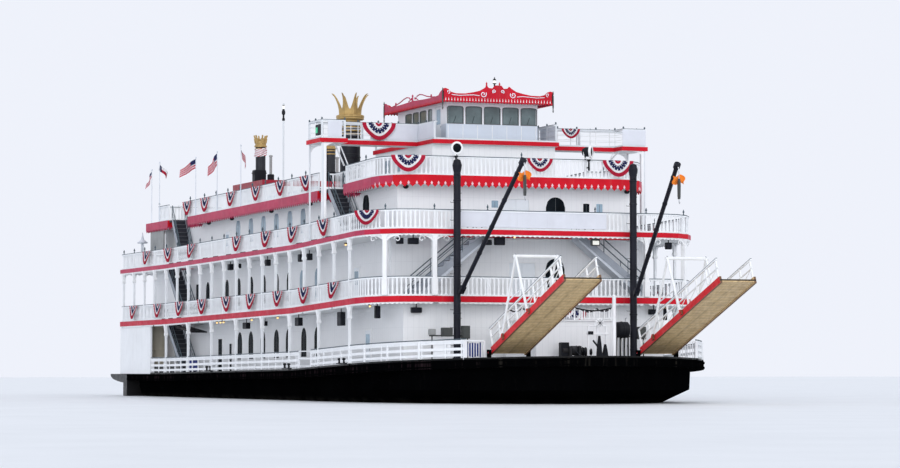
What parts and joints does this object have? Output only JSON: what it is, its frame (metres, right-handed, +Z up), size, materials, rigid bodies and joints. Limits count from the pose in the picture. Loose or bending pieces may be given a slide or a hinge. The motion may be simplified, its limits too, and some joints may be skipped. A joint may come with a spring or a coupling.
{
  "type": "scale model of a stern-wheel paddle steamer",
  "caption": "Half-size model of a stern-wheel river paddle steamer: decked hull, galleried decks, wheelhouse, tall smokestacks, swinging gangways and a turning paddle wheel.",
  "frame": {"origin": "on the waterline amidships, on the centre line", "axes": "+X to the bow, +Y to port, +Z up"},
  "size_m": [36.5916, 10.45, 10.9],
  "materials": {
    "black_paint": "semi-gloss black paint",
    "casing_white": "semi-gloss white paint",
    "deck_grey": "matt grey deck paint, black edge",
    "door_white": "semi-gloss white paint",
    "gangway_ochre": "ochre paint, worn",
    "house_white": "semi-gloss white paint",
    "rail_white": "semi-gloss white paint",
    "red_paint": "semi-gloss red paint on the edge",
    "rudder_grey": "matt grey paint",
    "stair_black": "matt black paint",
    "wheel_white": "white paint, water-worn"
  },
  "bodies": {
    "ship": {"aft_smokestacks": "casing_white", "aft_texas_stair_port": "stair_black", "aft_texas_stair_starboard": "stair_black", "anchor_windlass": "black_paint", "bridge_deck": "red_paint", "bridge_house_aft_wall": "house_white", "bridge_house_front_wall": "house_white", "bridge_house_port_wall": "house_white", "bridge_house_starboard_wall": "house_white", "foredeck_house": "house_white", "forward_texas_stair_port": "stair_black", "forward_texas_stair_starboard": "stair_black", "fourth_deck": "red_paint", "fourth_deck_railing": "rail_white", "front_stair": "house_white", "hull": "black_paint", "lower_house_aft_wall": "house_white", "lower_house_front_wall": "house_white", "lower_house_port_wall": "house_white", "lower_house_starboard_wall": "house_white", "lower_stair_port": "stair_black", "lower_stair_starboard": "stair_black", "main_deck": "deck_grey", "main_deck_railing": "rail_white", "mast_port": "black_paint", "mast_starboard": "black_paint", "saloon_aft_wall": "house_white", "saloon_front_wall": "house_white", "saloon_port_wall": "house_white", "saloon_starboard_wall": "house_white", "second_deck": "red_paint", "second_deck_railing": "rail_white", "smokestack_port": "black_paint", "smokestack_starboard": "black_paint", "texas_aft_wall": "house_white", "texas_front_wall": "house_white", "texas_port_wall": "house_white", "texas_starboard_wall": "house_white", "third_deck": "red_paint", "third_deck_railing": "rail_white", "upper_stair_port": "stair_black", "upper_stair_starboard": "stair_black", "wheel_guard_port": "house_white", "wheel_guard_starboard": "house_white", "wheelhouse_aft_wall": "house_white", "wheelhouse_front_wall": "house_white", "wheelhouse_port_wall": "house_white", "wheelhouse_roof": "red_paint", "wheelhouse_starboard_wall": "house_white"},
    "stern_wheel": {"paddle_wheel": "wheel_white"},
    "rudder_blade_starboard": {"rudder_starboard": "rudder_grey"},
    "boom_arm_starboard": {"boom_starboard": "black_paint"},
    "gangway_ramp_starboard": {"gangway_starboard": "gangway_ochre"},
    "wheelhouse_leaf_starboard": {"wheelhouse_door_starboard": "door_white"},
    "gate_leaf_starboard": {"boarding_gate_starboard": "rail_white"},
    "rudder_blade_port": {"rudder_port": "rudder_grey"},
    "boom_arm_port": {"boom_port": "black_paint"},
    "gangway_ramp_port": {"gangway_port": "gangway_ochre"},
    "wheelhouse_leaf_port": {"wheelhouse_door_port": "door_white"},
    "gate_leaf_port": {"boarding_gate_port": "rail_white"}
  },
  "joints": [
    {"name": "paddle_wheel_spin", "type": "hinge", "parent": "ship", "child": "stern_wheel", "pos_m": [-16.35, 0, 1.05], "axis": [0, 1, 0], "continuous": true},
    {"name": "rudder_turn_starboard", "type": "hinge", "parent": "ship", "child": "rudder_blade_starboard", "pos_m": [-13.8, -2.1, -0.6], "axis": [0, 0, 1], "range_deg": [-35, 35]},
    {"name": "boom_luff_starboard", "type": "hinge", "parent": "ship", "child": "boom_arm_starboard", "pos_m": [11.6485, -2.6679, 3.1], "axis": [0.1084, -0.9941, 0], "range_deg": [-15, 25]},
    {"name": "gangway_lift_starboard", "type": "hinge", "parent": "ship", "child": "gangway_ramp_starboard", "pos_m": [14.025, -2.21, 1.395], "axis": [0, -1, 0], "range_deg": [-19, 35]},
    {"name": "wheelhouse_door_swing_starboard", "type": "hinge", "parent": "ship", "child": "wheelhouse_leaf_starboard", "pos_m": [6.375, -1.425, 8.15], "axis": [0, 0, 1], "range_deg": [0, 95]},
    {"name": "boarding_gate_swing_starboard", "type": "hinge", "parent": "ship", "child": "gate_leaf_starboard", "pos_m": [4.555, -5.075, 1.25], "axis": [0, 0, 1], "range_deg": [0, 70]},
    {"name": "rudder_turn_port", "type": "hinge", "parent": "ship", "child": "rudder_blade_port", "pos_m": [-13.8, 2.1, -0.6], "axis": [0, 0, 1], "range_deg": [-35, 35]},
    {"name": "boom_luff_port", "type": "hinge", "parent": "ship", "child": "boom_arm_port", "pos_m": [11.6485, 2.6679, 3.1], "axis": [-0.1084, -0.9941, 0], "range_deg": [-15, 25]},
    {"name": "gangway_lift_port", "type": "hinge", "parent": "ship", "child": "gangway_ramp_port", "pos_m": [14.025, 2.21, 1.395], "axis": [0, -1, 0], "range_deg": [-19, 35]},
    {"name": "wheelhouse_door_swing_port", "type": "hinge", "parent": "ship", "child": "wheelhouse_leaf_port", "pos_m": [6.375, 1.425, 8.15], "axis": [0, 0, -1], "range_deg": [0, 95]},
    {"name": "boarding_gate_swing_port", "type": "hinge", "parent": "ship", "child": "gate_leaf_port", "pos_m": [4.555, 5.075, 1.25], "axis": [0, 0, -1], "range_deg": [0, 70]}
  ]
}
